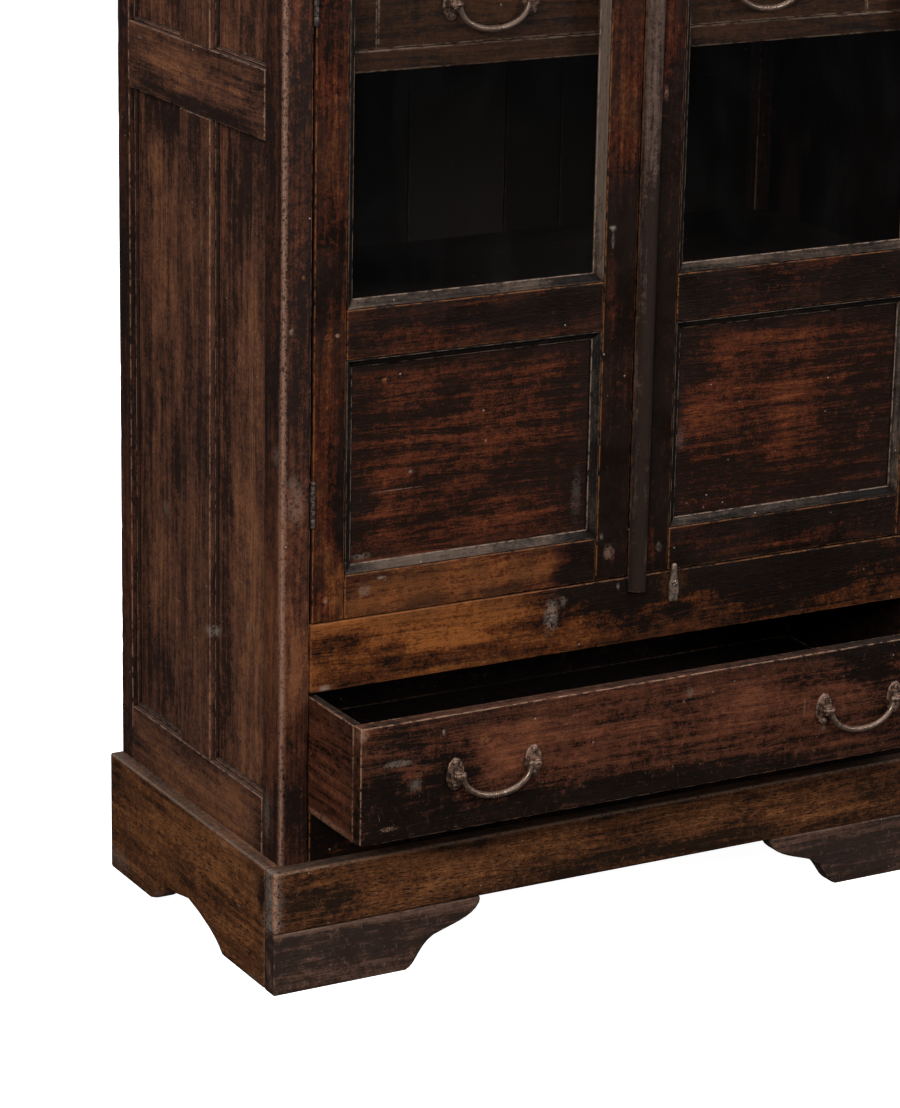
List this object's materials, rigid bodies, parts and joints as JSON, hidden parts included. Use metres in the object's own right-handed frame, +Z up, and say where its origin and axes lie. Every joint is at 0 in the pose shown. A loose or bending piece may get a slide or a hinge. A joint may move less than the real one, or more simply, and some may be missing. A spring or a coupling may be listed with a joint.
{
  "type": "china cabinet",
  "caption": "Tall old dark-wood china cabinet: two doors with glass over wooden panels, a long drawer below, small drawers inside, and a bracket plinth.",
  "frame": {"origin": "on the floor under the middle of the object's box at rest, with the lower drawer partly open and its handles included", "axes": "+X to the right along the front, +Y to the back, +Z up"},
  "size_m": [1.05, 0.628, 2.13],
  "materials": {
    "plinth_wood": "aged dark hardwood, worn semi-matt, open grain",
    "foot_wood": "aged dark hardwood, dull and greyed",
    "post_wood": "aged dark hardwood, worn semi-gloss",
    "side_wood": "aged dark hardwood, semi-matt",
    "rail_wood": "aged amber-brown hardwood, semi-gloss",
    "door_wood": "aged black-brown hardwood, semi-gloss",
    "drawer_wood": "aged dark red-brown hardwood, semi-matt",
    "inside_wood": "unpolished dark wood",
    "trim_wood": "aged grey-brown hardwood, semi-gloss",
    "iron": "rusted wrought iron, rubbed",
    "old_glass": "old clear drawn glass, slightly wavy"
  },
  "bodies": {
    "root": {"plinth_front_board": "plinth_wood", "plinth_foot_left": "foot_wood", "plinth_foot_right": "foot_wood", "plinth_side_left": "plinth_wood", "plinth_side_right": "plinth_wood", "post_front_left": "post_wood", "post_front_right": "post_wood", "post_rear_left": "post_wood", "post_rear_right": "post_wood", "side_rail_bottom_left": "side_wood", "side_rail_middle_left": "side_wood", "side_rail_top_left": "side_wood", "side_muntin_left": "side_wood", "side_panel_left": "side_wood", "side_rail_bottom_right": "side_wood", "side_rail_middle_right": "side_wood", "side_rail_top_right": "side_wood", "side_muntin_right": "side_wood", "side_panel_right": "side_wood", "front_rail_bottom": "rail_wood", "front_rail_middle": "rail_wood", "front_rail_top": "rail_wood", "carcase_bottom": "inside_wood", "cupboard_floor": "inside_wood", "shelf_lower": "inside_wood", "drawer_shelf": "inside_wood", "shelf_over_drawers": "inside_wood", "back_boards": "inside_wood", "drawer_frame": "rail_wood", "cornice": "rail_wood", "hinge_left_lower": "iron", "hinge_left_middle": "iron", "hinge_left_upper": "iron", "hinge_right_lower": "iron", "hinge_right_middle": "iron", "hinge_right_upper": "iron"},
    "door_left": {"door_left_hinge_stile": "door_wood", "door_left_meeting_stile": "door_wood", "door_left_bottom_rail": "door_wood", "door_left_middle_rail": "door_wood", "door_left_top_rail": "door_wood", "door_left_panel": "door_wood", "door_left_glass": "old_glass"},
    "door_right": {"door_right_hinge_stile": "door_wood", "door_right_meeting_stile": "door_wood", "door_right_bottom_rail": "door_wood", "door_right_middle_rail": "door_wood", "door_right_top_rail": "door_wood", "door_right_panel": "door_wood", "door_right_glass": "old_glass", "astragal": "trim_wood"},
    "turn_button": {"turn_button": "iron"},
    "lower_drawer": {"lower_drawer_front": "drawer_wood", "lower_drawer_box": "drawer_wood"},
    "lower_bail_left": {"lower_bail_left": "iron"},
    "lower_bail_right": {"lower_bail_right": "iron"},
    "inner_drawer_left": {"inner_drawer_left": "drawer_wood"},
    "inner_drawer_right": {"inner_drawer_right": "drawer_wood"},
    "inner_bail_left": {"inner_bail_left": "iron"},
    "inner_bail_right": {"inner_bail_right": "iron"}
  },
  "joints": [
    {"name": "door_left_hinge", "type": "hinge", "parent": "root", "child": "door_left", "pos_m": [-0.465, -0.1665, 1.2586], "axis": [0, 0, -1], "range_deg": [0, 110]},
    {"name": "door_right_hinge", "type": "hinge", "parent": "root", "child": "door_right", "pos_m": [0.465, -0.1665, 1.2586], "axis": [0, 0, 1], "range_deg": [0, 110]},
    {"name": "turn_button_pivot", "type": "hinge", "parent": "root", "child": "turn_button", "pos_m": [0.0658, -0.1676, 0.4648], "axis": [0, -1, 0], "range_deg": [-90, 90]},
    {"name": "lower_drawer_slide", "type": "slide", "parent": "root", "child": "lower_drawer", "axis": [0, -1, 0], "range_m": [-0.135, 0.2]},
    {"name": "lower_bail_left_swing", "type": "hinge", "parent": "lower_drawer", "child": "lower_bail_left", "pos_m": [-0.276, -0.31, 0.308], "axis": [-1, 0, 0], "range_deg": [0, 95]},
    {"name": "lower_bail_right_swing", "type": "hinge", "parent": "lower_drawer", "child": "lower_bail_right", "pos_m": [0.276, -0.31, 0.308], "axis": [-1, 0, 0], "range_deg": [0, 95]},
    {"name": "inner_drawer_left_slide", "type": "slide", "parent": "root", "child": "inner_drawer_left", "axis": [0, -1, 0], "range_m": [0, 0.22]},
    {"name": "inner_bail_left_swing", "type": "hinge", "parent": "inner_drawer_left", "child": "inner_bail_left", "pos_m": [-0.2017, -0.132, 1.237], "axis": [-1, 0, 0], "range_deg": [0, 66.5]},
    {"name": "inner_drawer_right_slide", "type": "slide", "parent": "root", "child": "inner_drawer_right", "axis": [0, -1, 0], "range_m": [0, 0.22]},
    {"name": "inner_bail_right_swing", "type": "hinge", "parent": "inner_drawer_right", "child": "inner_bail_right", "pos_m": [0.2017, -0.132, 1.237], "axis": [-1, 0, 0], "range_deg": [0, 66.5]}
  ],
  "couplings": [
    {"joint": "inner_drawer_left_slide", "follows": "door_left_hinge", "m_per_rad": 0.1145},
    {"joint": "inner_bail_left_swing", "follows": "door_left_hinge", "ratio": 0.6},
    {"joint": "inner_drawer_right_slide", "follows": "door_right_hinge", "m_per_rad": 0.1145},
    {"joint": "inner_bail_right_swing", "follows": "door_right_hinge", "ratio": 0.6}
  ]
}
